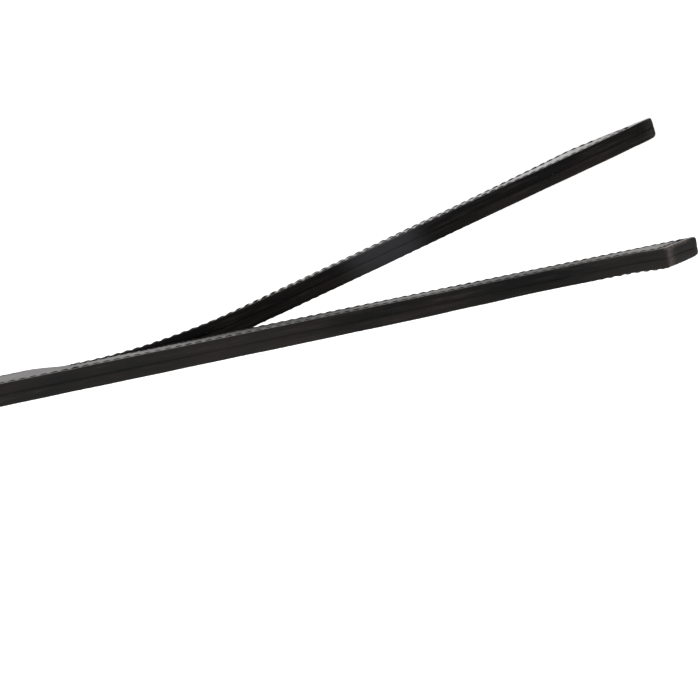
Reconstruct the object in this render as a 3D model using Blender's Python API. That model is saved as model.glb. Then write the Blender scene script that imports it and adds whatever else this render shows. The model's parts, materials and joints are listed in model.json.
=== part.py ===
"""A heavy split strap: two layers of thick leather, cemented and stitched together.

The strap is whole at its grip and divides into two equal tails. Near the split each tail
flexes up and down; the near tail lies flat and the far tail is lifted and splayed a little.

Frame: +X runs from the grip to the tips, +Z is up, the near tail lies at -Y, and the origin
is the middle of the grip's underside. Lengths are in metres.
"""

import math

import bmesh
import bpy
from mathutils import Vector

# The strap
THICKNESS = 0.0106
TAIL_WIDTH = 0.025
KERF = 0.0006
GRIP_LENGTH = 0.290
TAIL_LENGTH = 0.3215
GLUE_GAP = 0.0003
EDGE_ROUND = 0.0011
GLUE_EDGE_ROUND = 0.0004
EDGE_SEGMENTS = 3

# Its cut corners: each tail's outer corner runs to a small nose on its inner edge
CLIP_LENGTH = {"near": 0.028, "far": 0.0385}
NOSE_WIDTH = 0.003
GRIP_CORNER = 0.009

# The stitching, a thread lying in a groove along every edge
THREAD_INSET = 0.0035
THREAD_WIDTH = 0.0010
THREAD_ROUND = 0.0003
GROOVE_DEPTH = 0.0010
SEAT_GAP = 0.0003
SPLIT_CORNER = 0.0025

# The flex line across both tails, and how the far tail leaves it
FLEX_DISTANCE = 0.043
FLEX_LAND = 0.00015
FLEX_GAP = 0.0003
FLEX_ARC_STEPS = 20
FLEX_TRIM = 0.002
FAR_LIFT = math.radians(13.3)
FAR_SPLAY = math.radians(2.6)

HALF_STRAP = TAIL_WIDTH + KERF / 2
HALF_THICKNESS = THICKNESS / 2
SPLIT_X = GRIP_LENGTH / 2
FLEX_X = SPLIT_X + FLEX_DISTANCE
FLEX_RADIUS = HALF_THICKNESS - FLEX_LAND
SOCKET_RADIUS = HALF_THICKNESS + FLEX_GAP
BLANK_X = FLEX_X + FLEX_TRIM
BLANK_ROOT_X = -FLEX_RADIUS - FLEX_TRIM
TAIL_CENTRE_Y = (TAIL_WIDTH + KERF) / 2
CUTTER_REACH = 0.03
TINY = 1e-7

LEATHER_COLOUR = (0.016, 0.014, 0.014, 1.0)
THREAD_COLOUR = (0.010, 0.010, 0.011, 1.0)


def clear_scene():
    for obj in list(bpy.data.objects):
        bpy.data.objects.remove(obj, do_unlink=True)


def make_material(name, colour, roughness):
    material = bpy.data.materials.new(name)
    material.use_nodes = True
    shader = material.node_tree.nodes["Principled BSDF"]
    shader.inputs["Base Color"].default_value = colour
    shader.inputs["Roughness"].default_value = roughness
    shader.inputs["Metallic"].default_value = 0.0
    material.diffuse_color = colour
    return material


def add_object(name, mesh, parent=None):
    obj = bpy.data.objects.new(name, mesh)
    bpy.context.scene.collection.objects.link(obj)
    obj.parent = parent
    return obj


def add_empty(name, location, splay=0.0, lift=0.0):
    """A joint's frame: its Y runs across the tail and its X along it."""
    empty = add_object(name, None)
    empty.location = location
    empty.rotation_euler = (0.0, -lift, splay)
    return empty


def extrude_plan(bm, plan, low, high):
    """Raises the closed plan outline, counter-clockwise seen from above, into a slab."""
    base = bm.faces.new([bm.verts.new((x, y, low)) for x, y in plan])
    top = bmesh.ops.extrude_face_region(bm, geom=[base])
    raised = [item for item in top["geom"] if isinstance(item, bmesh.types.BMVert)]
    bmesh.ops.translate(bm, verts=raised, vec=(0.0, 0.0, high - low))
    bmesh.ops.recalc_face_normals(bm, faces=bm.faces)


def edges_at_height(bm, height, flex_x=None):
    """The slab's outline edges at one height, without those across a flex line."""
    found = []
    for edge in bm.edges:
        level = all(abs(v.co.z - height) < TINY for v in edge.verts)
        across = flex_x is not None and all(abs(v.co.x - flex_x) < TINY for v in edge.verts)
        if level and not across:
            found.append(edge)
    return found


def round_edges(bm, edges, radius, segments):
    bmesh.ops.bevel(bm, geom=edges, offset=radius, segments=segments, profile=0.5, affect="EDGES")


def finish_mesh(bm, name, smooth_angle=math.radians(35)):
    mesh = bpy.data.meshes.new(name)
    bm.to_mesh(mesh)
    bm.free()
    mesh.shade_smooth()
    mesh.set_sharp_from_angle(angle=smooth_angle)
    return mesh


def turn_over(bm):
    """Mirrors a layer in the strap's middle plane, so that its face looks down."""
    for vert in bm.verts:
        vert.co.z = -vert.co.z
    bmesh.ops.reverse_faces(bm, faces=bm.faces)


def offset_path(path, distance):
    """An open path moved sideways to its left by the distance, with mitred corners."""
    points = [Vector(point) for point in path]
    normals = []
    for start, end in zip(points, points[1:]):
        along = (end - start).normalized()
        normals.append(Vector((-along.y, along.x)))
    moved = [points[0] + normals[0] * distance]
    for point, before, after in zip(points[1:-1], normals, normals[1:]):
        mitre = (before + after).normalized()
        moved.append(point + mitre * (distance / mitre.dot(before)))
    moved.append(points[-1] + normals[-1] * distance)
    return moved


def ribbon(path, width):
    """The closed outline of a band of that width along an open path."""
    left = offset_path(path, width / 2)
    right = offset_path(path, -width / 2)
    return [tuple(point) for point in right + left[::-1]]


def grip_plan():
    """The unsplit strap with its corners cut, and the first stretch of both tails."""
    end_x = -GRIP_LENGTH / 2
    half_kerf = KERF / 2
    return [
        (end_x + GRIP_CORNER, -HALF_STRAP),
        (BLANK_X, -HALF_STRAP),
        (BLANK_X, -half_kerf),
        (SPLIT_X, -half_kerf),
        (SPLIT_X, half_kerf),
        (BLANK_X, half_kerf),
        (BLANK_X, HALF_STRAP),
        (end_x + GRIP_CORNER, HALF_STRAP),
        (end_x, HALF_STRAP - GRIP_CORNER),
        (end_x, -HALF_STRAP + GRIP_CORNER),
    ]


def grip_edge_path():
    """The stitch line round the grip, from one tail's outer edge to the other's."""
    outline = grip_plan()
    around = [outline[6], outline[7], outline[8], outline[9], outline[0], outline[1]]
    return offset_path(around, THREAD_INSET)


def split_path():
    """The stitch line that runs round the root of the split, one row on each tail."""
    row_y = KERF / 2 + THREAD_INSET
    root_x = SPLIT_X - THREAD_INSET
    return [
        (BLANK_X, -row_y),
        (root_x + SPLIT_CORNER, -row_y),
        (root_x, -row_y + SPLIT_CORNER),
        (root_x, row_y - SPLIT_CORNER),
        (root_x + SPLIT_CORNER, row_y),
        (BLANK_X, row_y),
    ]


def tail_plan(side):
    """A tail from its flex line to its nose; side is -1 near and +1 far, towards its outer edge."""
    name = "near" if side < 0 else "far"
    tip_x = TAIL_LENGTH - FLEX_DISTANCE
    outer_y = side * TAIL_WIDTH / 2
    inner_y = -outer_y
    outline = [
        (BLANK_ROOT_X, outer_y),
        (tip_x - CLIP_LENGTH[name], outer_y),
        (tip_x, inner_y + side * NOSE_WIDTH),
        (tip_x, inner_y),
        (BLANK_ROOT_X, inner_y),
    ]
    return outline if side < 0 else outline[::-1]


def tail_path(side):
    """The stitch line round a tail, parallel to its edges, as one pointed loop that is open at the root."""
    name = "near" if side < 0 else "far"
    tip_x = TAIL_LENGTH - FLEX_DISTANCE
    outer_y = side * TAIL_WIDTH / 2
    inner_row = -outer_y + side * THREAD_INSET
    outer_row = outer_y - side * THREAD_INSET
    clip_drop = TAIL_WIDTH - NOSE_WIDTH
    clip_angle = math.atan2(clip_drop, CLIP_LENGTH[name])
    shoulder_x = tip_x - CLIP_LENGTH[name] - THREAD_INSET * math.tan(clip_angle / 2)
    point_x = shoulder_x + abs(outer_row - inner_row) / math.tan(clip_angle)
    path = [
        (BLANK_ROOT_X, outer_row),
        (shoulder_x, outer_row),
        (point_x, inner_row),
        (BLANK_ROOT_X, inner_row),
    ]
    return path if side < 0 else path[::-1]


def leather_mesh(name, plan, face_up, flex_x):
    """One layer between the glue line and its outer face, its edges rounded by burnishing."""
    bm = bmesh.new()
    glue_height = GLUE_GAP / 2
    extrude_plan(bm, plan, glue_height, HALF_THICKNESS)
    round_edges(bm, edges_at_height(bm, HALF_THICKNESS, flex_x), EDGE_ROUND, EDGE_SEGMENTS)
    round_edges(bm, edges_at_height(bm, glue_height, flex_x), GLUE_EDGE_ROUND, 1)
    if not face_up:
        turn_over(bm)
    return finish_mesh(bm, name)


def thread_mesh(name, path, face_up):
    """A thread lying in its groove, just below the leather's face."""
    bm = bmesh.new()
    floor_height = HALF_THICKNESS - GROOVE_DEPTH + SEAT_GAP
    crown_height = HALF_THICKNESS - THREAD_ROUND / 2
    extrude_plan(bm, ribbon(path, THREAD_WIDTH), floor_height, crown_height)
    round_edges(bm, edges_at_height(bm, crown_height), THREAD_ROUND, 2)
    if not face_up:
        turn_over(bm)
    return finish_mesh(bm, name)


def groove_cutter(name, path, face_up, parent):
    bm = bmesh.new()
    floor_height = HALF_THICKNESS - GROOVE_DEPTH
    extrude_plan(bm, ribbon(path, THREAD_WIDTH + 2 * SEAT_GAP), floor_height, THICKNESS)
    if not face_up:
        turn_over(bm)
    return hide_cutter(add_object(name, finish_mesh(bm, name), parent))


def flex_cutter(name, radius, parent):
    """Everything past the flex line, with a round end of that radius about the joint's axis."""
    bm = bmesh.new()
    profile = [(TAIL_LENGTH, -CUTTER_REACH), (TAIL_LENGTH, CUTTER_REACH), (0.0, CUTTER_REACH)]
    for step in range(FLEX_ARC_STEPS + 1):
        angle = math.pi / 2 + math.pi * step / FLEX_ARC_STEPS
        profile.append((radius * math.cos(angle), radius * math.sin(angle)))
    profile.append((0.0, -CUTTER_REACH))
    side_y = TAIL_CENTRE_Y
    face = bm.faces.new([bm.verts.new((x, -side_y, z)) for x, z in profile])
    moved = bmesh.ops.extrude_face_region(bm, geom=[face])
    raised = [item for item in moved["geom"] if isinstance(item, bmesh.types.BMVert)]
    bmesh.ops.translate(bm, verts=raised, vec=(0.0, 2 * side_y, 0.0))
    bmesh.ops.recalc_face_normals(bm, faces=bm.faces)
    return hide_cutter(add_object(name, finish_mesh(bm, name), parent))


def hide_cutter(obj):
    obj.hide_render = True
    obj.display_type = "WIRE"
    return obj


def boolean(obj, cutter, operation):
    modifier = obj.modifiers.new(cutter.name, "BOOLEAN")
    modifier.object = cutter
    modifier.operation = operation
    modifier.solver = "EXACT"


def add_leather(name, plan, paths, face_up, parent, flex_x, material):
    obj = add_object(name, leather_mesh(name, plan, face_up, flex_x), parent)
    obj.data.materials.append(material)
    for index, path in enumerate(paths):
        groove = groove_cutter(f"{name}_groove_{index}", path, face_up, parent)
        boolean(obj, groove, "DIFFERENCE")
    return obj


def add_thread(name, path, face_up, parent, material):
    obj = add_object(name, thread_mesh(name, path, face_up), parent)
    obj.data.materials.append(material)
    return obj


def add_grip(leather, thread, flex_cutters):
    """The root body: grip and split, with both tails' ends hollowed round their flex axes."""
    middle = add_empty("grip_middle_plane", (0.0, 0.0, HALF_THICKNESS))
    for layer, face_up in (("upper", True), ("lower", False)):
        pieces = [
            add_leather(
                f"grip_{layer}_leather",
                grip_plan(),
                [grip_edge_path(), split_path()],
                face_up,
                middle,
                BLANK_X,
                leather,
            ),
            add_thread(f"grip_{layer}_edge_thread", grip_edge_path(), face_up, middle, thread),
            add_thread(f"split_{layer}_thread", split_path(), face_up, middle, thread),
        ]
        for piece in pieces:
            for cutter in flex_cutters:
                boolean(piece, cutter, "DIFFERENCE")


def add_tail(name, side, lift, splay, leather, thread):
    """One tail on its flex axis. Returns the cutter that makes room for it in the grip."""
    location = (FLEX_X, side * TAIL_CENTRE_Y, HALF_THICKNESS)
    axis = add_empty(f"{name}_flex_axis", location, splay, lift)
    round_end = flex_cutter(f"{name}_round_end", FLEX_RADIUS, axis)
    for layer, face_up in (("upper", True), ("lower", False)):
        pieces = [
            add_leather(
                f"{name}_{layer}_leather",
                tail_plan(side),
                [tail_path(side)],
                face_up,
                axis,
                BLANK_ROOT_X,
                leather,
            ),
            add_thread(f"{name}_{layer}_thread", tail_path(side), face_up, axis, thread),
        ]
        for piece in pieces:
            boolean(piece, round_end, "INTERSECT")
    socket_frame = add_empty(f"{name}_socket_frame", location, splay)
    return flex_cutter(f"{name}_socket", SOCKET_RADIUS, socket_frame)


def main():
    clear_scene()
    leather = make_material("black_leather", LEATHER_COLOUR, 0.45)
    thread = make_material("black_thread", THREAD_COLOUR, 0.60)
    sockets = [
        add_tail("near_tail", -1, 0.0, 0.0, leather, thread),
        add_tail("far_tail", 1, FAR_LIFT, FAR_SPLAY, leather, thread),
    ]
    add_grip(leather, thread, sockets)


main()
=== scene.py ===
"""The looks of the split leather strap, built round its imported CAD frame.

The strap is drawn flat first, in strap coordinates: along (the row's X), across (the row's Y) and
height above the middle plane. Both faces, their stitches and the cement between them come from
the same plan. lay_out() then places them in the row frame, where the far tail bends upwards.
Lengths are in metres. A (start, length) pair is a gradual change along the strap: where it begins,
counted from the place that its name or comment gives, and how long it takes.
"""

import json
import math

import bmesh
import bpy
import numpy as np
from mathutils import Matrix, Vector


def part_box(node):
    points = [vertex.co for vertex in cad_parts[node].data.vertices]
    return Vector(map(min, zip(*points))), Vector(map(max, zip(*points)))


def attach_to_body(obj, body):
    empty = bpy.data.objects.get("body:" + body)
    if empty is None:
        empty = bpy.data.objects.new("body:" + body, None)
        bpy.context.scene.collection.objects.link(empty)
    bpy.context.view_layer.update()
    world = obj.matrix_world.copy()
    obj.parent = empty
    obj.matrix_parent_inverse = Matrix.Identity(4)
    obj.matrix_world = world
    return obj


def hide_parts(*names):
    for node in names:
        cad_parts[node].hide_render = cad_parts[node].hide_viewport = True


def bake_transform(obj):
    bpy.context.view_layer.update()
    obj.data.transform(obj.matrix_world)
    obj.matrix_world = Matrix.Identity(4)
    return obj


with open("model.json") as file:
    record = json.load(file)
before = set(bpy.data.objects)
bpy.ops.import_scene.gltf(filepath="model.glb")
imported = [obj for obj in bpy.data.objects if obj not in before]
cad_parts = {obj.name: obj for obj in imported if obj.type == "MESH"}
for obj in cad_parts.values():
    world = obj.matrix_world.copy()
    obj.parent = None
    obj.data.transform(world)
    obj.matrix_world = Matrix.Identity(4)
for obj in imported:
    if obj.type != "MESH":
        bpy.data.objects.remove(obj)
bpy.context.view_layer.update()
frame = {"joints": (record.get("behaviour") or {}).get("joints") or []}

# ---------------------------------------------------------------- sizes, from the frame

grip_low, grip_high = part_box("grip_upper_leather")
flex_points = {joint["child"]: Vector(joint["pos_m"]) for joint in frame["joints"]}

MIDDLE = grip_high.z / 2
GRIP_END = grip_low.x
HALF_STRAP = grip_high.y
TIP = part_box("near_tail_upper_leather")[1].x
TAIL_CENTRE = flex_points["far_tail"].y
HALF_KERF = 2 * TAIL_CENTRE - HALF_STRAP
TAIL_WIDTH = HALF_STRAP - HALF_KERF
FLEX_REACH = 0.043
SPLIT = flex_points["near_tail"].x - FLEX_REACH

# The plan's corners
CLIP = {"near_tail": 0.028, "far_tail": 0.0385}
NOSE = 0.003
GRIP_CORNER = 0.009
SHOULDER_ROUND = 0.0022
NOSE_ROUND = 0.0022

# The leather's section: half the cement's thickness, and the rounds of its edges. GLUE_STEPS turn
# the cut edge onto the cement, as shares of that round inwards and down.
GLUE_HALF = 0.00006
GLUE_ROUND = 0.00017
GLUE_STEPS = ((0.3, 0.7), (1.0, 1.0))
FACE_ROUND = 0.00065
WORN_ROUND = {"grip": 0.0014, "near_tail": 0.0014, "far_tail": 0.0021}
TIP_SOFTNESS = 0.0035
EDGE_BULGE = 0.00005

# How far the burnished edge reaches onto the face, and onto the far tail's inner rim
BURNISH_REACH = 0.00040
FAR_BURNISH_REACH = 0.00075

# The hide's slow unevenness: height, and radians per metre along and across
SWELLS = ((0.00005, 90, 60), (0.00004, 233, -140))

# The parts of the strap, and its layers, whose grain faces look up (1) and down (-1)
PARTS = ("grip", "near_tail", "far_tail")
SIDE = {"upper": 1, "lower": -1}

# The stitches
INSET = 0.0035
PITCH = 0.00484
THREAD_RADIUS = 0.00048
CHANNEL_DEPTH = 0.00022
CHANNEL_WIDTH = 0.0010
HOLE_DEPTH = 0.00028
HOLE_WIDTH = 0.00065
PUCKER_DEPTH = 0.00018
PUCKER_WIDTH = 0.0019
SCALLOP_DEPTH = 0.00010
SCALLOP_REACH = 0.0017
SLANT = 0.00032
STITCH_RINGS = 17
STITCH_SIDES = 10
PLIES = 3
PLY_DEPTH = 0.10
PLY_TURNS = 1.6
THIN_END = 0.25
DIVE = 0.0011
TILT = 0.00040

# How proud the threads stand over the channel, and how much deeper some rows lie, on the grip, on
# the tails and towards the tips
CROWN = {"upper": 0.00010, "lower": -0.00010}
GRIP_SINK = {"near": 0.00014, "far": 0.00034}
NEAR_SINK = 0.00012
NEAR_TIP_SINK = 0.00005
FAR_TIP_SINK = 0.00026
TIP_SINKING = (-0.095, 0.025)

# Towards the tip, the near tail's lower stitches stand proud
LOOSENING = (-0.078, 0.028)
LOOSE_CROWN = 0.00028

# The far tail's bend, and the far half's droop round the root of the split
BEND_LENGTH = 0.0926
LIFT = math.radians(12.92)
CURL = math.radians(1.04)
SPLAY = math.radians(2.58)
CURVE_POINTS = 400
TWIST_KNOTS = (0.0, 0.045, 0.120, 0.200, 0.3215)
TWIST_DEGREES = (-5.0, -6.35, -3.85, -3.5, 1.6)
DROOP = math.radians(5.0)
DROOP_REACH = 0.026
DROOP_SOFTNESS = 0.012
DROOP_FADE = 0.060
PAST_TIP = 0.002

# The far tail lies a little higher than its bend alone would put it, and a little further out
RISE = 0.0003
RISE_REACH = 0.070
STRETCH = 1.004

# How far the far nose's upper rim lies ahead of its middle, and what share of that its middle lies
# ahead of the plan
END_SLANT = 0.0006
END_SHARE = 1.2

# The near tail's tip: its shoulder hangs a little, and its lower leather is thinner in places
SHOULDER_SAG = 0.0007
SAG_REACH = 0.013
SKIVE_KNOTS = (0.0, 0.006, 0.014, 0.028, 0.044, 0.066, 0.098, 0.120, 0.141, 0.162, 0.180)
SKIVE_DEPTHS = (0.0011, 0.0004, 0.0, 0.0, 0.00055, 0.0006, 0.00085, 0.00045, 0.00035, 0.00005, 0.0)

# Worn spots: each one's radius and strength, and how far a shoulder's is past it and inside it
SHOULDER_WEAR = (0.0034, 0.55)
SHOULDER_SPOT = (0.0035, 0.0025)
NOSE_WEAR = {"near_tail": (0.004, 0.25), "far_tail": (0.004, 0.08)}
GRIP_WEAR = (0.008, 0.6)

# The near tail's worn rim along its clipped corner, counted from the shoulder and from the inner
# edge: its reach on the face, and on the cut edge as a share of the layer's height
CLIP_WEARS = (-0.002, 0.004)
CLIP_WEARS_ACROSS = (0.006, 0.006)
RIM_REACH = 0.0011
RIM_EDGE_REACH = 0.14

# The worn band beside the near tail's outer edge, counted from the tip
BAND_WEARS = (-0.085, 0.050)
BAND_WEAR = 0.75
BAND_INSET = 0.0016
BAND_HALF = 0.0018

# The stretch of the far tail's inner edge that has a painted highlight, a lighter bluish-grey patch
# standing in for a reflection, counted from the split
PAINTED_HIGHLIGHT_PLACE = 0.161
PAINTED_HIGHLIGHT_SIZE = 0.020

# The shine of the faces: each tail's share of it, where the share rises or falls after the split
# and before the tip, and how much more the near tail has where it is held
FAR_SHINE = 1.0
NEAR_SHINE = 0.35
SHINE_BEGINS = (-0.010, 0.070)
SHINE_CHANGES = (0.150, 0.100)
FAR_SHINE_RISE = 0.4
NEAR_SHINE_LOSS = 0.8
FAR_TIP_SHINES = (-0.105, 0.045)
FAR_TIP_SHINE = 0.6
NEAR_TIP_SHINES = (-0.070, 0.030)
NEAR_TIP_SHINE = 0.8
HELD_SHINE = 0.6
HELD_REACH = 1.3 * PAINTED_HIGHLIGHT_SIZE

# Painted light and shade on the cut edges: the outer edges are painted lighter, as if lit, and the
# inner ones stay darker, as if in shade; these are how far from the centre line the lighter paint
# begins and is full. It is least round the middle of the stretch painted in shade, and it fades out
# before the tips.
OUTER_BEGINS, OUTER_FULL = 0.010, 0.022
OUTER_TIP_FULL, OUTER_TIP_ENDS = 0.030, 0.022
SHADED_PLACE = 0.325
SHADED_HALF, SHADED_END = 0.055, 0.090
SHADED_SHARE, PAINTED_LIT_SHARE = 0.22, 0.68

# Mesh spacing: stations along the strap, rows across it from an edge inwards, stations from an end
# inwards, and rings down the cut edge as shares of its height
STATION = 0.0006
EDGE_ROWS = (0.0, 0.00012, 0.0003, 0.0006, 0.0010, 0.0015, 0.0021, 0.0028, 0.0035, 0.0042, 0.0050)
MIDDLE_ROWS = 10
END_STATIONS = (0.0, 0.00006, 0.00016, 0.0003, 0.0005, 0.0008, 0.0012, 0.0017, 0.0023)
WALL_SHARES = (0.16, 0.36, 0.58, 0.80, 1.0)
INSIDE_SHIFT = 0.002
SHARP_ANGLE = math.radians(50)
CEMENT_INSET = 0.00016
CEMENT_FILL = 0.98
CEMENT_STEP = 4

# Tones; a pair is the darkest and the lightest of a mottled colour
GRAIN_TONES = ((0.0060, 0.0052, 0.0050, 1), (0.0150, 0.0126, 0.0120, 1))
GRAIN_WORN = (0.20, 0.165, 0.155, 1)
UPPER_EDGE_TONES = ((0.0036, 0.0040, 0.0044, 1), (0.0085, 0.0068, 0.0062, 1))
LOWER_EDGE_TONES = ((0.0062, 0.0063, 0.0056, 1), (0.0118, 0.0100, 0.0088, 1))
# The lighter colour painted on the outer edges, as if they were lit
PAINTED_LIT_EDGE_TONES = ((0.0165, 0.0168, 0.0166, 1), (0.0225, 0.0208, 0.0198, 1))
EDGE_FIBRE = (0.034, 0.0305, 0.0285, 1)
EDGE_SEAM = (0.0016, 0.0015, 0.0014, 1)
# A painted highlight: the lighter bluish-grey of the far tail's inner edge where a reflection would
# fall
EDGE_PAINTED_HIGHLIGHT = (0.040, 0.041, 0.045, 1)
EDGE_WORN = (0.190, 0.165, 0.155, 1)
THREAD_TONES = ((0.004, 0.004, 0.0042, 1), (0.013, 0.012, 0.012, 1))
CEMENT_TONES = ((0.0015, 0.0015, 0.0015, 1), (0.005, 0.0045, 0.004, 1))
FLOOR_TONE = (0.92, 0.92, 0.92, 1)

# The studio
FLOOR_Z = -0.150
FLOOR_REACH = 6.0
CAMERA_YAW = math.radians(-12.24)
CAMERA_PITCH = math.radians(-5.81)
CAMERA_ROLL = math.radians(10.73)
CAMERA_LENS = 77.2
CAMERA_SENSOR = 36.0
CAMERA_SEES = (0.01, 50)
CAMERA_PLACE = (SPLIT - 0.0252, -0.7185, 0.0652)
BRIGHT_SIDE = (-0.55, 0.835, 0.0)
WALL_SPREAD = (-0.6, 0.9)
WALL_DIM = 0.22
WALL_BRIGHT = 1.15
CEILING_SPREAD = (0.3, 1.0)
CEILING = 1.5
BACKDROP = 1.04
STUDIO_WHITE = (1.0, 0.985, 0.980, 1)
SOFTBOX_PLACE = (0.3, 0.7, 1.6)
SOFTBOX_SIZE = 1.6
SOFTBOX_POWER = 14

# ---------------------------------------------------------------- gradual changes


def smooth(share):
    """0 at 0 and below, 1 at 1 and above, with soft ends."""
    share = np.clip(share, 0, 1)
    return share * share * (3 - 2 * share)


def change(place, origin, start_and_length):
    """A gradual change from 0 to 1 along the strap."""
    start, length = start_and_length
    return smooth((place - origin - start) / length)


def spot(gap_along, gap_across, size):
    """1 at a spot's middle, and fading out round it."""
    return np.exp(-(gap_along**2 + gap_across**2) / size**2)


# ---------------------------------------------------------------- plan geometry


def rounded(corners, radii, steps=8):
    """An open run of corners with an arc at each inner one, as an array of points."""
    points = [np.array(corners[0])]
    for before, corner, after, radius in zip(corners, corners[1:], corners[2:], radii):
        corner = np.array(corner)
        back = np.array(before) - corner
        ahead = np.array(after) - corner
        back /= np.linalg.norm(back)
        ahead /= np.linalg.norm(ahead)
        half_angle = math.acos(float(np.clip(back @ ahead, -1, 1))) / 2
        reach = radius / math.tan(half_angle)
        towards = (back + ahead) / np.linalg.norm(back + ahead)
        centre = corner + towards * radius / math.sin(half_angle)
        start = corner + back * reach - centre
        end = corner + ahead * reach - centre
        sweep = math.pi - 2 * half_angle
        for step in range(steps + 1):
            share = step / steps
            arm = math.sin((1 - share) * sweep) * start + math.sin(share * sweep) * end
            points.append(centre + arm / math.sin(sweep))
    points.append(np.array(corners[-1]))
    return np.array(points)


def distance_to(run, points):
    """The distance from each point to an open run of points."""
    best = np.full(len(points), np.inf)
    for start, end in zip(run, run[1:]):
        along = end - start
        share = np.clip((points - start) @ along / max(along @ along, 1e-18), 0, 1)
        gap = points - start - share[:, None] * along
        best = np.minimum(best, np.hypot(gap[:, 0], gap[:, 1]))
    return best


def tail_outline(tail, root):
    """(along, across from the inner edge): a tail's outer edge, its nose and its inner edge."""
    corners = [
        (root, TAIL_WIDTH),
        (TIP - CLIP[tail], TAIL_WIDTH),
        (TIP, NOSE),
        (TIP, 0.0),
        (SPLIT, 0.0),
    ]
    return rounded(corners, (SHOULDER_ROUND, NOSE_ROUND, NOSE_ROUND))


def grip_outline():
    """(along, across): from the near edge past the split, round the grip's end, to the far edge."""
    beyond = SPLIT + BEND_LENGTH
    corners = [
        (beyond, -HALF_STRAP),
        (GRIP_END + GRIP_CORNER, -HALF_STRAP),
        (GRIP_END, -HALF_STRAP + GRIP_CORNER),
        (GRIP_END, HALF_STRAP - GRIP_CORNER),
        (GRIP_END + GRIP_CORNER, HALF_STRAP),
        (beyond, HALF_STRAP),
    ]
    return rounded(corners, (SHOULDER_ROUND,) * 4)


def edge_distance(part, along, across):
    """How far each point of a part's plan lies from the strap's cut edge."""
    if part == "grip":
        points = np.stack([along, across], -1)
        root = np.array([(SPLIT, -HALF_KERF), (SPLIT, HALF_KERF)])
        return np.minimum(distance_to(grip_outline(), points), distance_to(root, points))
    points = np.stack([along, np.abs(across) - HALF_KERF], -1)
    return distance_to(tail_outline(part, SPLIT - BEND_LENGTH), points)


def stitch_line():
    """The closed line of the stitching, which follows every edge and runs round the split."""
    grip_round, tail_round, split_round = 0.003, 0.001, 0.0025
    corner = INSET * math.tan(math.pi / 8)
    edge_row = HALF_STRAP - INSET
    split_row = HALF_KERF + INSET
    half = {}
    for tail in CLIP:
        angle = math.atan2(TAIL_WIDTH - NOSE, CLIP[tail])
        shoulder = TIP - CLIP[tail] - INSET * math.tan(angle / 2)
        half[tail] = (shoulder, shoulder + (edge_row - split_row) / math.tan(angle))
    near_shoulder, near_point = half["near_tail"]
    far_shoulder, far_point = half["far_tail"]
    start = (0.0, -edge_row)
    corners = [
        start,
        (near_shoulder, -edge_row),
        (near_point, -split_row),
        (SPLIT - INSET, -split_row),
        (SPLIT - INSET, split_row),
        (far_point, split_row),
        (far_shoulder, edge_row),
        (GRIP_END + GRIP_CORNER + corner, edge_row),
        (GRIP_END + INSET, HALF_STRAP - GRIP_CORNER - corner),
        (GRIP_END + INSET, -HALF_STRAP + GRIP_CORNER + corner),
        (GRIP_END + GRIP_CORNER + corner, -edge_row),
        start,
    ]
    near_half = (grip_round, tail_round, split_round)
    return rounded(corners, near_half + near_half[::-1] + (grip_round,) * 4)


def stitch_holes():
    """The needle holes, evenly spaced along the closed stitch line; the last is the first again."""
    line = stitch_line()
    lengths = np.r_[0, np.cumsum(np.hypot(*np.diff(line, axis=0).T))]
    count = round(lengths[-1] / PITCH)
    places = np.linspace(0, lengths[-1], count + 1)
    return np.stack([np.interp(places, lengths, line[:, i]) for i in (0, 1)], -1)


HOLES = stitch_holes()


# ---------------------------------------------------------------- heights


def wear(along, across):
    """How worn the corners are that rub most: tails' shoulders, tails' noses, grip's corners."""
    worn = np.zeros(len(along))
    ahead, inside = SHOULDER_SPOT
    for tail, side in (("near_tail", -1), ("far_tail", 1)):
        places = (
            (TIP - CLIP[tail] + ahead, HALF_STRAP - inside, SHOULDER_WEAR),
            (TIP, HALF_KERF, NOSE_WEAR[tail]),
            (GRIP_END, HALF_STRAP - GRIP_CORNER / 2, GRIP_WEAR),
        )
        for x, y, (size, most) in places:
            worn += most * spot(along - x, across - side * y, size)
    return np.clip(worn, 0, 1)


def rim_wear(part, along, across, edge):
    """Wear on the rims of the near tail's last stretch; edge is below 0 on the cut edge itself."""
    if part != "near_tail":
        return np.zeros(len(along))
    clipped = change(along, TIP - CLIP[part], CLIP_WEARS)
    clipped *= change(np.abs(across), HALF_KERF, CLIP_WEARS_ACROSS)
    rim = np.exp(-(np.where(edge < 0, edge / RIM_EDGE_REACH, edge / RIM_REACH) ** 2))
    before = BAND_WEAR * change(along, TIP, BAND_WEARS) * (np.abs(across) > TAIL_CENTRE)
    band = np.exp(-(((edge - BAND_INSET) / BAND_HALF) ** 2)) * (edge > 0)
    return clipped * rim + before * band


def painted_highlight(along, across):
    """1 on the stretch of the far tail's inner edge where a highlight is painted into the edge's
    colour, and 0 elsewhere.
    """
    polished = np.exp(-(((along - SPLIT - PAINTED_HIGHLIGHT_PLACE) / PAINTED_HIGHLIGHT_SIZE) ** 4))
    return polished * (across > 0) * (across < TAIL_CENTRE)


def polish(along, across):
    """How far the dull face is rubbed to a low shine: not on the grip, most on the far tail."""
    outer = change(along, SPLIT, SHINE_CHANGES)
    far = FAR_SHINE + FAR_SHINE_RISE * outer + FAR_TIP_SHINE * change(along, TIP, FAR_TIP_SHINES)
    near = NEAR_SHINE * (1 - NEAR_SHINE_LOSS * outer)
    near = near + HELD_SHINE * spot(along - SPLIT - PAINTED_HIGHLIGHT_PLACE, 0, HELD_REACH)
    near = near + NEAR_TIP_SHINE * change(along, TIP, NEAR_TIP_SHINES)
    return np.where(across > 0, far, near) * change(along, SPLIT, SHINE_BEGINS)


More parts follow.
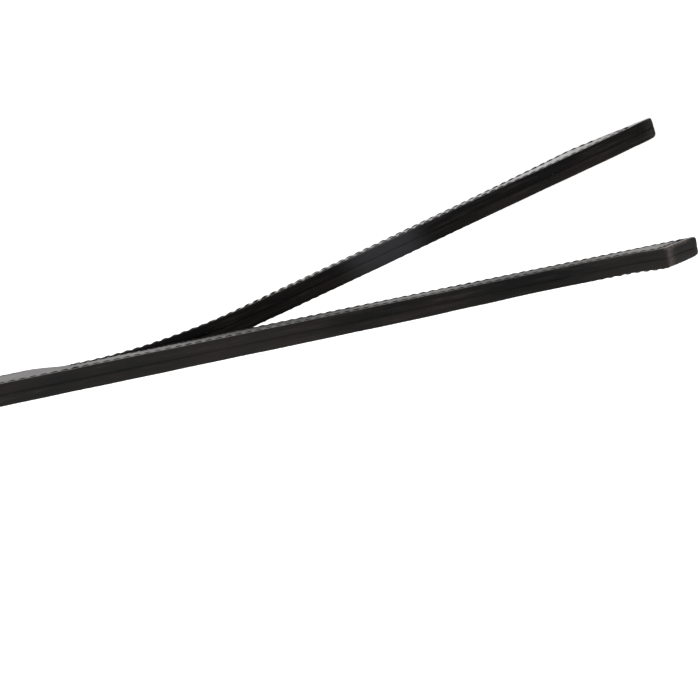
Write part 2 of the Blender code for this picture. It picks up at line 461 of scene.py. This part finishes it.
def hole_pull(along, across):
    """How far the stitches pull the face down, and the distance to the nearest needle hole."""
    nearest = np.full((len(along), 3), np.inf)
    for hole in HOLES[:-1]:
        gap = (along - hole[0]) ** 2 + (across - hole[1]) ** 2
        close = gap < nearest[:, 2]
        if close.any():
            nearest[close, 2] = gap[close]
            nearest[close] = np.sort(nearest[close], axis=1)
    deep = HOLE_DEPTH * np.exp(-nearest[:, 0] / HOLE_WIDTH**2)
    wide = PUCKER_DEPTH * np.exp(-nearest / PUCKER_WIDTH**2).sum(axis=1)
    return deep + wide, np.sqrt(nearest[:, 0])


def face_height(part, along, across):
    """The grain face over the middle plane, and the edge distance it was worked out from."""
    edge = edge_distance(part, along, across)
    blunt = np.maximum(wear(along, across), np.exp(-(((TIP - along) / TIP_SOFTNESS) ** 2)))
    radius = FACE_ROUND + (WORN_ROUND[part] - FACE_ROUND) * blunt
    drop = radius - np.sqrt(np.maximum(radius**2 - np.maximum(radius - edge, 0) ** 2, 0))
    channel = CHANNEL_DEPTH * np.exp(-(((edge - INSET) / CHANNEL_WIDTH) ** 2))
    swell = sum(size * np.sin(along * a + across * b) for size, a, b in SWELLS)
    pull, hole = hole_pull(along, across)
    beside = np.hypot(INSET, PITCH / 2)
    notch = smooth((beside - hole) / (beside - INSET)) * np.exp(-((edge / SCALLOP_REACH) ** 2))
    height = MIDDLE - drop - channel - pull - SCALLOP_DEPTH * notch
    return height + swell * np.clip(edge / FACE_ROUND, 0, 1), edge


# ---------------------------------------------------------------- the far tail's bend


def bend_curve(samples=CURVE_POINTS):
    """The far tail's centre line, cross and normal directions, by distance from the split."""
    run = np.linspace(0, TIP - SPLIT + PAST_TIP, samples)
    lift = LIFT * smooth(run / BEND_LENGTH) + CURL * run / (TIP - SPLIT)
    splay = SPLAY * smooth(run / BEND_LENGTH)
    twist = np.zeros(samples)
    knots = list(zip(TWIST_KNOTS, TWIST_DEGREES))
    for (start, low), (end, high) in zip(knots, knots[1:]):
        inside = (run >= start) & (run <= end + PAST_TIP)
        share = smooth((run[inside] - start) / (end - start))
        twist[inside] = np.radians(low + (high - low) * share)
    ahead = np.stack([np.cos(lift) * np.cos(splay), np.cos(lift) * np.sin(splay), np.sin(lift)], -1)
    steps = (ahead[1:] + ahead[:-1]) / 2 * (run[1] - run[0])
    centre = np.vstack([np.zeros(3), np.cumsum(steps, axis=0)]) + (SPLIT, TAIL_CENTRE, MIDDLE)
    centre[:, 2] -= TAIL_WIDTH / 2 * math.sin(DROOP) * (1 - smooth(run / DROOP_FADE))
    level = np.stack([-np.sin(splay), np.cos(splay), np.zeros(samples)], -1)
    above = np.cross(ahead, level)
    across = level * np.cos(twist)[:, None] + above * np.sin(twist)[:, None]
    return run, centre, across, np.cross(ahead, across)


BEND = bend_curve()


def droop(along, across):
    """How far the far half hangs down just behind the split, and how much it slopes there."""
    behind = SPLIT - along
    slope = math.tan(DROOP) * smooth(1 - behind / DROOP_REACH)
    soft = DROOP_SOFTNESS * np.clip(behind / DROOP_REACH, 0.01, 1)
    past = np.maximum(across - HALF_KERF, 0)
    fall = np.where(past > soft, past - soft / 2, past**2 / (2 * soft))
    return slope * fall, slope * np.clip(past / soft, 0, 1)


def skive(part, along):
    """How much thinner the near tail's lower leather is than the rest."""
    if part != "near_tail":
        return np.zeros(len(along))
    return np.interp(TIP - along, SKIVE_KNOTS, SKIVE_DEPTHS)


def hang(part, along, across, height):
    """Points of the flat strap in the row frame, as if nothing lay under it."""
    if part == "near_tail":
        sag = SHOULDER_SAG * spot(along - TIP + CLIP[part], across + HALF_STRAP, SAG_REACH)
        return np.stack([along, across, MIDDLE + height - sag], -1)
    if part == "grip":
        fall, slope = droop(along, across)
        return np.stack([along, across + height * slope, MIDDLE + height - fall], -1)
    run, centre, cross, normal = BEND
    slant = END_SLANT * (END_SHARE + height / MIDDLE) * np.exp(-(((TIP - along) / NOSE) ** 2))
    distance = (along - SPLIT) * STRETCH + slant
    height = height + RISE * smooth(distance / RISE_REACH)

    def at(table):
        return np.stack([np.interp(distance, run, table[:, i]) for i in range(3)], -1)

    bent = at(centre) + at(cross) * (across - TAIL_CENTRE)[:, None] + at(normal) * height[:, None]
    ahead = centre[1] - centre[0]
    bent += np.minimum(distance, 0)[:, None] * ahead / np.linalg.norm(ahead)
    return bent


def lay_out(part, along, across, height):
    """The same, but the grip and far tail are pressed level where their underside would sink."""
    points = hang(part, along, across, height)
    if part == "near_tail":
        return points
    sunk = np.maximum(-hang(part, along, across, np.full(len(along), -MIDDLE))[:, 2], 0)
    points[:, 2] += sunk * np.clip((MIDDLE - height) / (2 * MIDDLE), 0, 1)
    return points


# ---------------------------------------------------------------- meshes


def turn_outwards(mesh):
    """Turns every face of a closed mesh outwards."""
    bm = bmesh.new()
    bm.from_mesh(mesh)
    bmesh.ops.recalc_face_normals(bm, faces=bm.faces)
    bm.to_mesh(mesh)
    bm.free()


def make_object(name, points, faces, materials, face_materials=None, flat=None, values=None):
    """A smooth mesh object; flat and values are kept on its points for the materials to read."""
    mesh = bpy.data.meshes.new(name)
    mesh.from_pydata(points.tolist(), [], faces)
    for material in materials:
        mesh.materials.append(material)
    if face_materials is not None:
        mesh.polygons.foreach_set("material_index", np.array(face_materials, np.int32))
    if flat is not None:
        attribute = mesh.attributes.new("flat", "FLOAT_VECTOR", "POINT")
        attribute.data.foreach_set("vector", flat.astype(np.float32).ravel())
    for key, data in (values or {}).items():
        attribute = mesh.attributes.new(key, "FLOAT", "POINT")
        attribute.data.foreach_set("value", data.astype(np.float32))
    turn_outwards(mesh)
    mesh.shade_smooth()
    obj = bpy.data.objects.new(name, mesh)
    bpy.context.scene.collection.objects.link(obj)
    return obj


def row_shares(width):
    """Rows across a strip as shares of its width, close together near its edges."""
    edge = np.array(EDGE_ROWS)
    middle = np.linspace(EDGE_ROWS[-1], width - EDGE_ROWS[-1], MIDDLE_ROWS + 2)[1:-1]
    return np.r_[edge, middle, (width - edge)[::-1]] / width


def plan_grid(part):
    """The along and across positions of a part's grid, one row of the arrays per station."""
    if part == "grip":
        ends = GRIP_END + np.array(END_STATIONS)
        count = round((SPLIT - ends[-1]) / STATION)
        stations = np.r_[ends, np.linspace(ends[-1], SPLIT, count + 1)[1:]]
        outline = grip_outline()
        half = len(outline) // 2
        limit = np.interp(stations, outline[half:, 0], outline[half:, 1])
        limit[0] = HALF_STRAP - GRIP_CORNER - SHOULDER_ROUND * math.tan(math.pi / 8)
        one = HALF_KERF + row_shares(TAIL_WIDTH) * TAIL_WIDTH
        rows = np.r_[-one[::-1], one] / HALF_STRAP
        return np.repeat(stations[:, None], len(rows), 1), limit[:, None] * rows
    ends = TIP - np.array(END_STATIONS)[::-1]
    count = round((ends[0] - SPLIT) / STATION)
    stations = np.r_[np.linspace(SPLIT, ends[0], count + 1)[:-1], ends]
    outline = tail_outline(part, SPLIT)
    nose = np.flatnonzero(outline[:, 0] > TIP - 1e-9)
    outer, inner = outline[: nose[0] + 1], outline[nose[-1] :][::-1]
    low = np.interp(stations, inner[:, 0], inner[:, 1])
    high = np.interp(stations, outer[:, 0], outer[:, 1])
    shares = row_shares(TAIL_WIDTH)
    across = HALF_KERF + low[:, None] + (high - low)[:, None] * shares
    side = -1 if part == "near_tail" else 1
    return np.repeat(stations[:, None], len(shares), 1), side * across


def boundary_loop(stations, rows, closed_end):
    """Grid indices along the cut edge: up one side, across the cut end, and down the other."""
    last = stations - 1
    if closed_end == "high":
        path = [(i, 0) for i in range(stations)]
        path += [(last, j) for j in range(1, rows - 1)]
        path += [(i, rows - 1) for i in range(last, -1, -1)]
    else:
        path = [(i, 0) for i in range(last, -1, -1)]
        path += [(0, j) for j in range(1, rows - 1)]
        path += [(i, rows - 1) for i in range(stations)]
    return path


def inward_normals(points, inside):
    """Unit normals of an open run of plan points, each pointing towards its point inside."""
    along = np.gradient(points, axis=0)
    normal = np.stack([-along[:, 1], along[:, 0]], -1)
    normal /= np.maximum(np.linalg.norm(normal, axis=1), 1e-12)[:, None]
    turn = np.sign(((inside - points) * normal).sum(1))
    return normal * np.where(turn == 0, 1, turn)[:, None]


def layer_faces(part, across, edge, columns):
    """A layer's faces and the material of each: 0 is the grain face and 1 the burnished edge."""
    stations, rows = across.shape
    grid = np.arange(across.size).reshape(across.shape)
    faces, kinds = [], []
    for i in range(stations - 1):
        for j in range(rows - 1):
            corners = (grid[i, j], grid[i + 1, j], grid[i + 1, j + 1], grid[i, j + 1])
            inner = part == "far_tail" and across[i, j] < TAIL_CENTRE
            reach = FAR_BURNISH_REACH if inner else BURNISH_REACH
            faces.append(corners)
            kinds.append(1 if edge[list(corners)].mean() < reach else 0)
    for upper, lower in zip(columns, columns[1:]):
        for k in range(len(upper) - 1):
            faces.append((upper[k], lower[k], lower[k + 1], upper[k + 1]))
    glue = columns[-1]
    last = len(glue) - 1
    for k in range(stations - 1):
        faces.append((glue[k], glue[last - k], glue[last - k - 1], glue[k + 1]))
    faces.append(tuple(glue[stations - 1 : last - stations + 2]))
    open_end = grid[-1 if part == "grip" else 0]
    first = [column[0] for column in columns[1:]]
    final = [column[-1] for column in columns[1:]]
    faces.append(tuple(open_end) + tuple(final) + tuple(first[::-1]))
    return faces, kinds + [1] * (len(faces) - len(kinds))


def leather_layer(name, part, layer, materials):
    """One closed layer of leather: grain face, burnished edge, and the cemented face inside.

    It is a grid for the face, then rings that go down its cut edge and round onto the cement, then
    strips that close the cemented face, its nose and the end where the next part follows on.
    """
    along, across = plan_grid(part)
    stations, rows = along.shape
    u, v = along.ravel(), across.ravel()
    height, edge = face_height(part, u, v)
    if layer == "lower":
        height -= skive(part, u)
    path = boundary_loop(stations, rows, "low" if part == "grip" else "high")
    rim = np.array([i * rows + j for i, j in path])
    rim_plan = np.stack([u[rim], v[rim]], -1)
    inside = (rim_plan + rim_plan[::-1]) / 2
    inside[:, 0] += INSIDE_SHIFT if part == "grip" else -INSIDE_SHIFT
    normals = inward_normals(rim_plan, inside)

    low = GLUE_HALF + GLUE_ROUND
    rings = [
        (-EDGE_BULGE * math.sin(math.pi * share), height[rim] + (low - height[rim]) * share, -share)
        for share in WALL_SHARES
    ]
    rings += [(GLUE_ROUND * inwards, low - GLUE_ROUND * down, -1.0) for inwards, down in GLUE_STEPS]
    flat = [np.stack([u, v, height], -1)]
    edges = [edge]
    columns = [rim]
    for ring, (shift, level, ring_edge) in enumerate(rings):
        flat.append(np.c_[rim_plan + normals * shift, np.broadcast_to(level, len(rim))])
        edges.append(np.full(len(rim), ring_edge))
        columns.append(len(u) + ring * len(rim) + np.arange(len(rim)))
    flat, edges = np.concatenate(flat), np.concatenate(edges)
    faces, kinds = layer_faces(part, across, edge, columns)

    points = lay_out(part, flat[:, 0], flat[:, 1], SIDE[layer] * flat[:, 2])
    plan = (flat[:, 0], flat[:, 1])
    rims = rim_wear(part, *plan, edges) * (layer == "upper")
    values = {
        "edge": edges,
        "wear": np.clip(wear(*plan) + rims, 0, 1),
        # The far tail's painted highlight
        "painted_highlight": painted_highlight(*plan),
        "polish": polish(*plan),
    }
    obj = make_object(name, points, faces, materials, kinds, flat * (1, 1, SIDE[layer]), values)
    obj.data.set_sharp_from_angle(angle=SHARP_ANGLE)
    return obj


def stitch_part(start, end):
    """The name of the row that a stitch belongs to, with a gap for its layer."""
    along, across = (start + end) / 2
    if along < SPLIT - 2 * INSET or (along < SPLIT and abs(across) > 3 * INSET):
        return "grip_{}_edge"
    if along < SPLIT:
        return "split_{}"
    return "near_tail_{}" if across < 0 else "far_tail_{}"


def thread_height(part, layer, start, end, along):
    """How high the middle of a stitch's thread lies, before its ends dive into their holes."""
    crown = CROWN[layer]
    if max(start[0], end[0]) < SPLIT:
        crown -= GRIP_SINK["near" if start[1] < 0 else "far"]
    height = np.full(len(along), MIDDLE - CHANNEL_DEPTH + crown)
    if layer == "upper":
        sinking = change(along, TIP, TIP_SINKING)
        if part == "near_tail" and abs(start[1]) > TAIL_CENTRE:
            height -= NEAR_SINK + NEAR_TIP_SINK * sinking
        if part == "far_tail" and abs(start[1]) < TAIL_CENTRE:
            height -= FAR_TIP_SINK * sinking
        return height
    if part == "near_tail":
        height += LOOSE_CROWN * change(along, TIP, LOOSENING)
    return height - skive(part, along)


def stitch_surface(name, part, layer, stitches, material):
    """Every stitch is a short twisted thread that rises from one hole and dives into the next."""
    share = np.linspace(0, 1, STITCH_RINGS)
    arch = np.abs(2 * share - 1) ** 3
    angles = np.linspace(0, 2 * math.pi, STITCH_SIDES, endpoint=False)
    rings = np.arange(STITCH_RINGS * STITCH_SIDES).reshape(STITCH_RINGS, STITCH_SIDES)
    points, faces = [], []
    for index, (start, end) in enumerate(stitches):
        ahead = (end - start) / np.linalg.norm(end - start)
        left = np.array([-ahead[1], ahead[0]])
        lean = SLANT * SIDE[layer]
        entry, leave = start + left * lean, end - left * lean
        centre = entry + (leave - entry) * share[:, None]
        uphill = 1 if end[0] > start[0] else -1
        height = thread_height(part, layer, start, end, centre[:, 0])
        height += TILT * (share - 0.5) * uphill - DIVE * arch
        slope = np.gradient(height, share * np.linalg.norm(leave - entry))
        normal = np.stack([-slope, np.ones_like(slope)], -1) / np.hypot(slope, 1)[:, None]
        twist = 2 * math.pi * PLY_TURNS * share[:, None] + index
        lobes = 1 + PLY_DEPTH * np.cos(PLIES * (angles + twist))
        radius = (THREAD_RADIUS * (1 - THIN_END * arch))[:, None] * lobes
        sideways, upwards = radius * np.cos(angles), radius * np.sin(angles)
        tipped = (ahead * normal[:, :1])[:, None, :] * upwards[..., None]
        plan = centre[:, None, :] + left * sideways[..., None] + tipped
        level = height[:, None] + normal[:, 1:] * upwards
        points.append(np.c_[plan.reshape(-1, 2), level.ravel()])
        ids = index * rings.size + rings
        turned = np.roll(ids, -1, axis=1)
        quads = np.stack([ids[:-1], turned[:-1], turned[1:], ids[1:]], -1).reshape(-1, 4)
        faces += [tuple(quad) for quad in quads.tolist()]
        faces += [tuple(ids[0].tolist()[::-1]), tuple(ids[-1].tolist())]
    flat = np.concatenate(points) * (1, 1, SIDE[layer])
    placed = lay_out(part, *flat.T)
    return make_object(name, placed, faces, [material], flat=flat)


def cement_film(name, part, material):
    """The cement between the layers, a thin closed sheet that ends just inside the cut edge."""
    along, across = plan_grid(part)
    stations = len(along)
    keep = np.unique(np.r_[np.arange(0, stations, CEMENT_STEP), stations - 1])
    low, high = across[keep, 0], across[keep, -1]
    pull = np.sign(high - low) * np.minimum(CEMENT_INSET, np.abs(high - low) / 3)
    u = along[keep, 0].copy()
    u[0 if part == "grip" else -1] += CEMENT_INSET if part == "grip" else -CEMENT_INSET
    runs = []
    for v in (low + pull, high - pull):
        for side in (-1, 1):
            height = np.full(len(u), side * GLUE_HALF * CEMENT_FILL)
            runs.append(lay_out(part, u, v, height))
    count = len(u)
    ids = np.arange(4 * count).reshape(4, count)
    ring = (0, 1, 3, 2)
    faces = []
    for one, two in zip(ring, ring[1:] + ring[:1]):
        for k in range(count - 1):
            faces.append((ids[one, k], ids[two, k], ids[two, k + 1], ids[one, k + 1]))
    faces.append(tuple(ids[one, 0] for one in ring))
    faces.append(tuple(ids[one, -1] for one in ring[::-1]))
    return make_object(name, np.concatenate(runs), faces, [material])


# ---------------------------------------------------------------- materials


class Nodes:
    """A short way to write a material's node tree; patterns have their scale in cells per metre."""

    def __init__(self, name):
        self.material = bpy.data.materials.new(name)
        self.material.use_nodes = True
        self.tree = self.material.node_tree
        self.shader = self.tree.nodes["Principled BSDF"]

    def add(self, kind, inputs=(), **settings):
        node = self.tree.nodes.new(kind)
        for key, value in settings.items():
            setattr(node, key, value)
        for key, value in dict(inputs).items():
            self.put(node.inputs[key], value)
        return node

    def put(self, socket, value):
        """Sets an input to a number or colour, or links another node's output to it."""
        if isinstance(value, bpy.types.NodeSocket):
            self.tree.links.new(value, socket)
        else:
            socket.default_value = value

    def math(self, operation, one, two=0.0, clamp=False):
        node = self.add("ShaderNodeMath", {0: one, 1: two}, operation=operation, use_clamp=clamp)
        return node.outputs[0]

    def mix(self, share, one, two):
        """A mix of two colours, by the numbers of the node's colour sockets."""
        node = self.add("ShaderNodeMix", data_type="RGBA")
        self.put(node.inputs[0], share)
        self.put(node.inputs[6], one)
        self.put(node.inputs[7], two)
        return node.outputs[2]

    def ramp(self, value, low, high, out_low=0.0, out_high=1.0):
        """out_low where the value is low or less, out_high where it is high or more."""
        inputs = {"Value": value, "From Min": low, "From Max": high}
        inputs.update({"To Min": out_low, "To Max": out_high})
        return self.add("ShaderNodeMapRange", inputs).outputs["Result"]

    def flat(self, scale=(1, 1, 1)):
        """The place on the flat strap, so that a pattern stays on the leather where it bends."""
        place = self.add("ShaderNodeAttribute", attribute_name="flat")
        mapping = self.add("ShaderNodeMapping", {"Vector": place.outputs["Vector"], "Scale": scale})
        return mapping.outputs["Vector"]

    def noise(self, scale, detail=3.0, roughness=0.5, stretch=(1, 1, 1)):
        inputs = {"Vector": self.flat(stretch), "Scale": scale}
        inputs.update({"Detail": detail, "Roughness": roughness})
        return self.add("ShaderNodeTexNoise", inputs).outputs["Fac"]

    def cells(self, scale, feature="F1", stretch=(1, 1, 1)):
        inputs = {"Vector": self.flat(stretch), "Scale": scale}
        return self.add("ShaderNodeTexVoronoi", inputs, feature=feature).outputs["Distance"]

    def value(self, attribute):
        """A number that make_object() kept on the mesh's points."""
        return self.add("ShaderNodeAttribute", attribute_name=attribute).outputs["Fac"]

    def bump(self, height, strength, distance, before=None):
        inputs = {"Height": height, "Strength": strength, "Distance": distance}
        if before is not None:
            inputs["Normal"] = before
        return self.add("ShaderNodeBump", inputs).outputs["Normal"]


def grain_leather():
    """The outer faces: black, with fine pores and creases, scuffed corners and a rubbed shine."""
    n = Nodes("black_grain_leather")
    cloud = n.noise(60, 4.0)
    fine = n.noise(1400, 3.0)
    pores = n.cells(1500)
    creases = n.cells(420, "DISTANCE_TO_EDGE", (0.7, 1.2, 1))
    base = n.mix(n.ramp(cloud, 0.35, 0.7), *GRAIN_TONES)
    scuffs = n.ramp(n.noise(700, 5.0, 0.65), 0.38, 0.66, 0.1, 1.0)
    worn = n.math("MULTIPLY", n.value("wear"), scuffs, clamp=True)
    scratch = n.ramp(n.noise(320, 5.0, 0.7, (0.35, 1.6, 1)), 0.66, 0.78)
    scratch = n.math("MULTIPLY", scratch, 0.22)
    rubbed = n.math("MAXIMUM", n.math("MULTIPLY", worn, 0.9), scratch, clamp=True)
    n.put(n.shader.inputs["Base Color"], n.mix(rubbed, base, GRAIN_WORN))
    rough = n.math("ADD", n.ramp(cloud, 0.3, 0.7, 0.49, 0.61), n.math("MULTIPLY", rubbed, 0.2))
    rough = n.math("SUBTRACT", rough, n.math("MULTIPLY", n.value("polish"), 0.18), clamp=True)
    n.put(n.shader.inputs["Roughness"], rough)
    n.shader.inputs["Specular IOR Level"].default_value = 0.42
    relief = n.bump(n.ramp(creases, 0.0, 0.16), 0.22, 0.00012)
    relief = n.bump(pores, 0.18, 0.00008, relief)
    relief = n.bump(fine, 0.20, 0.00008, relief)
    n.put(n.shader.inputs["Normal"], relief)
    return n.material


def edge_leather():
    """The cut edges: dyed and burnished, with fibres along the strap and a dark cement seam;
    painted light on the outer edges, painted shade on the inner ones, and a painted highlight on
    the far tail's inner edge.
    """
    n = Nodes("burnished_edge_leather")
    streak = n.noise(380, 4.0, 0.6, (0.10, 1, 1.6))
    patch = n.noise(22, 3.0, 0.55, (0.6, 1, 3))
    speck = n.ramp(n.noise(900, 2.0, 0.5, (0.6, 1, 1)), 0.74, 0.80)
    place = n.add("ShaderNodeSeparateXYZ", {0: n.flat()})
    upper = n.ramp(place.outputs["Z"], -0.0004, 0.0004)
    top = n.mix(n.ramp(patch, 0.36, 0.64), *UPPER_EDGE_TONES)
    under = n.mix(n.ramp(patch, 0.40, 0.60), *LOWER_EDGE_TONES)
    base = n.mix(upper, under, top)

    # Painted light and shade: the outer edges are painted lighter as if lit, least in a stretch
    # painted in shade, while the inner edges keep the darker colour as if in shade
    outer = n.ramp(n.math("ABSOLUTE", place.outputs["Y"]), OUTER_BEGINS, OUTER_FULL)
    painted_lit_edge = n.mix(n.ramp(patch, 0.38, 0.62), *PAINTED_LIT_EDGE_TONES)
    away = n.math("ABSOLUTE", n.math("SUBTRACT", place.outputs["X"], SHADED_PLACE))
    shaded = n.ramp(away, SHADED_HALF, SHADED_END, SHADED_SHARE, PAINTED_LIT_SHARE)
    before = n.ramp(place.outputs["X"], TIP - OUTER_TIP_FULL, TIP - OUTER_TIP_ENDS, 1.0, 0.0)
    lit = n.math("MULTIPLY", n.math("MULTIPLY", outer, shaded), before)
    base = n.mix(lit, base, painted_lit_edge)

    fibre = n.noise(900, 4.0, 0.65, (0.12, 1, 1.3))
    drawn = n.math("MULTIPLY", n.ramp(streak, 0.48, 0.72), n.ramp(fibre, 0.40, 0.62, 0.25, 1.0))
    base = n.mix(n.math("MULTIPLY", drawn, 0.75), base, EDGE_FIBRE)

    stained = n.ramp(patch, 0.30, 0.55, 0.9, 0.4)
    seam = n.math("MULTIPLY", n.ramp(n.value("edge"), -0.84, -0.97), stained, clamp=True)
    seam = n.math("MULTIPLY", seam, n.math("SUBTRACT", 1.0, n.math("MULTIPLY", outer, 0.6)))
    base = n.mix(seam, base, EDGE_SEAM)
    # A painted highlight on the far tail's inner edge, lighter and bluish, in place of a reflection
    base = n.mix(n.math("MULTIPLY", n.value("painted_highlight"), 0.8, clamp=True), base, EDGE_PAINTED_HIGHLIGHT)
    scuffs = n.ramp(n.noise(1100, 5.0, 0.7), 0.40, 0.68, 0.15, 1.0)
    worn = n.math("MULTIPLY", n.value("wear"), scuffs, clamp=True)
    speck = n.math("MULTIPLY", speck, 0.35)
    pale = n.math("MAXIMUM", n.math("MULTIPLY", worn, 0.8), speck, clamp=True)
    n.put(n.shader.inputs["Base Color"], n.mix(pale, base, EDGE_WORN))
    n.put(n.shader.inputs["Roughness"], n.ramp(streak, 0.3, 0.7, 0.46, 0.62))
    n.shader.inputs["Specular IOR Level"].default_value = 0.06
    relief = n.bump(streak, 0.35, 0.00020)
    relief = n.bump(n.noise(1600, 3.0), 0.15, 0.00008, relief)
    n.put(n.shader.inputs["Normal"], relief)
    return n.material


def thread_material():
    """Black waxed thread, matt and a little fibrous."""
    n = Nodes("black_waxed_thread")
    fibre = n.noise(4200, 3.0, 0.6)
    n.put(n.shader.inputs["Base Color"], n.mix(n.ramp(fibre, 0.35, 0.7), *THREAD_TONES))
    n.put(n.shader.inputs["Roughness"], n.ramp(fibre, 0.3, 0.7, 0.62, 0.78))
    n.shader.inputs["Specular IOR Level"].default_value = 0.08
    n.put(n.shader.inputs["Normal"], n.bump(fibre, 0.30, 0.00010))
    return n.material


def cement_material():
    """Dark, lumpy cement."""
    n = Nodes("dark_cement")
    place = n.add("ShaderNodeTexCoord").outputs["Object"]
    lumps = n.add("ShaderNodeTexNoise", {"Vector": place, "Scale": 500, "Detail": 3.0})
    lumps = lumps.outputs["Fac"]
    n.put(n.shader.inputs["Base Color"], n.mix(lumps, *CEMENT_TONES))
    n.put(n.shader.inputs["Roughness"], n.ramp(lumps, 0.3, 0.7, 0.55, 0.75))
    n.shader.inputs["Specular IOR Level"].default_value = 0.2
    n.put(n.shader.inputs["Normal"], n.bump(lumps, 0.3, 0.0002))
    return n.material


# ---------------------------------------------------------------- the strap


def attach(obj, part):
    """Pieces of the grip ride on it; a tail's pieces only have their placing baked into their
    points.
    """
    if part == "grip":
        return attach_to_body(obj, "grip")
    centre = -TAIL_CENTRE if part == "near_tail" else TAIL_CENTRE
    along = np.array([SPLIT, SPLIT + 2 * FLEX_REACH])
    start, end = lay_out(part, along, np.full(2, centre), np.zeros(2)).tolist()
    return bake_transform(obj)


def build_strap():
    """Both skins, their rows of stitches and the cement film, part by part."""
    leathers = [grain_leather(), edge_leather()]
    thread, cement = thread_material(), cement_material()
    stitches = {}
    for start, end in zip(HOLES, HOLES[1:]):
        stitches.setdefault(stitch_part(start, end), []).append((start, end))
    for layer in SIDE:
        for part in PARTS:
            leather = leather_layer(f"{part}_{layer}_leather_skin", part, layer, leathers)
            attach(leather, part)
            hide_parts(f"{part}_{layer}_leather")
        for group, runs in stitches.items():
            part = group[: -len("_{}")] if "tail" in group else "grip"
            row = stitch_surface(f"{group.format(layer)}_stitches", part, layer, runs, thread)
            attach(row, part)
            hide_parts(f"{group.format(layer)}_thread")
    for part in PARTS:
        attach(cement_film(f"{part}_cement_film", part, cement), part)


# ---------------------------------------------------------------- studio


def add_camera():
    """The photograph's view: turned by the yaw, then the pitch, then the roll."""
    data = bpy.data.cameras.new("camera")
    data.lens = CAMERA_LENS
    data.sensor_width = CAMERA_SENSOR
    data.clip_start, data.clip_end = CAMERA_SEES
    camera = bpy.data.objects.new("camera", data)
    bpy.context.scene.collection.objects.link(camera)
    turn = Matrix.Rotation(CAMERA_YAW, 3, "Z") @ Matrix.Rotation(CAMERA_PITCH, 3, "X")
    turn = turn @ Matrix.Rotation(CAMERA_ROLL, 3, "Y")
    right, ahead, above = turn.col
    basis = Matrix((right, above, -ahead)).transposed()
    camera.matrix_world = Matrix.Translation(CAMERA_PLACE) @ basis.to_4x4()
    bpy.context.scene.camera = camera


def add_floor():
    """A wide, plain, pale floor."""
    mesh = bpy.data.meshes.new("studio_floor")
    signs = ((-1, -1), (1, -1), (1, 1), (-1, 1))
    corners = [(x * FLOOR_REACH, y * FLOOR_REACH, FLOOR_Z) for x, y in signs]
    mesh.from_pydata(corners, [], [(0, 1, 2, 3)])
    floor = bpy.data.objects.new("studio_floor", mesh)
    bpy.context.scene.collection.objects.link(floor)
    material = bpy.data.materials.new("pale_floor")
    material.use_nodes = True
    shader = material.node_tree.nodes["Principled BSDF"]
    shader.inputs["Base Color"].default_value = FLOOR_TONE
    shader.inputs["Roughness"].default_value = 0.9
    shader.inputs["Specular IOR Level"].default_value = 0.1
    mesh.materials.append(material)


def add_softbox():
    """A round soft light overhead, aimed at the middle of the strap."""
    data = bpy.data.lights.new("overhead_softbox", "AREA")
    data.shape = "DISK"
    data.size = SOFTBOX_SIZE
    data.energy = SOFTBOX_POWER
    light = bpy.data.objects.new("overhead_softbox", data)
    bpy.context.scene.collection.objects.link(light)
    light.location = SOFTBOX_PLACE
    aim = Vector(((GRIP_END + TIP) / 2, 0, 0)) - Vector(SOFTBOX_PLACE)
    light.rotation_euler = aim.to_track_quat("-Z", "Y").to_euler()


def light_studio():
    """A white studio: bright overhead and behind the strap, dim on the camera's side.

    It lights the strap so, and is itself seen as a plain pale backdrop.
    """
    world = bpy.data.worlds.new("studio")
    bpy.context.scene.world = world
    world.use_nodes = True
    tree = world.node_tree

    def ramp(value, spread, low, high):
        node = tree.nodes.new("ShaderNodeMapRange")
        node.interpolation_type = "SMOOTHSTEP"
        tree.links.new(value, node.inputs["Value"])
        names = ("From Min", "From Max", "To Min", "To Max")
        for name, number in zip(names, (*spread, low, high)):
            node.inputs[name].default_value = number
        return node.outputs["Result"]

    direction = tree.nodes.new("ShaderNodeTexCoord").outputs["Generated"]
    towards = tree.nodes.new("ShaderNodeVectorMath")
    towards.operation = "DOT_PRODUCT"
    tree.links.new(direction, towards.inputs[0])
    towards.inputs[1].default_value = BRIGHT_SIDE
    height = tree.nodes.new("ShaderNodeSeparateXYZ")
    tree.links.new(direction, height.inputs[0])
    total = tree.nodes.new("ShaderNodeMath")
    walls = ramp(towards.outputs["Value"], WALL_SPREAD, WALL_DIM, WALL_BRIGHT)
    ceiling = ramp(height.outputs["Z"], CEILING_SPREAD, 0.0, CEILING)
    tree.links.new(walls, total.inputs[0])
    tree.links.new(ceiling, total.inputs[1])
    strength = tree.nodes.new("ShaderNodeMix")
    seen = tree.nodes.new("ShaderNodeLightPath").outputs["Is Camera Ray"]
    tree.links.new(seen, strength.inputs[0])
    tree.links.new(total.outputs[0], strength.inputs[2])
    strength.inputs[3].default_value = BACKDROP
    tree.links.new(strength.outputs[0], tree.nodes["Background"].inputs["Strength"])
    tree.nodes["Background"].inputs["Color"].default_value = STUDIO_WHITE
    bpy.context.scene.view_settings.view_transform = "Standard"


build_strap()
add_camera()
add_floor()
light_studio()
add_softbox()
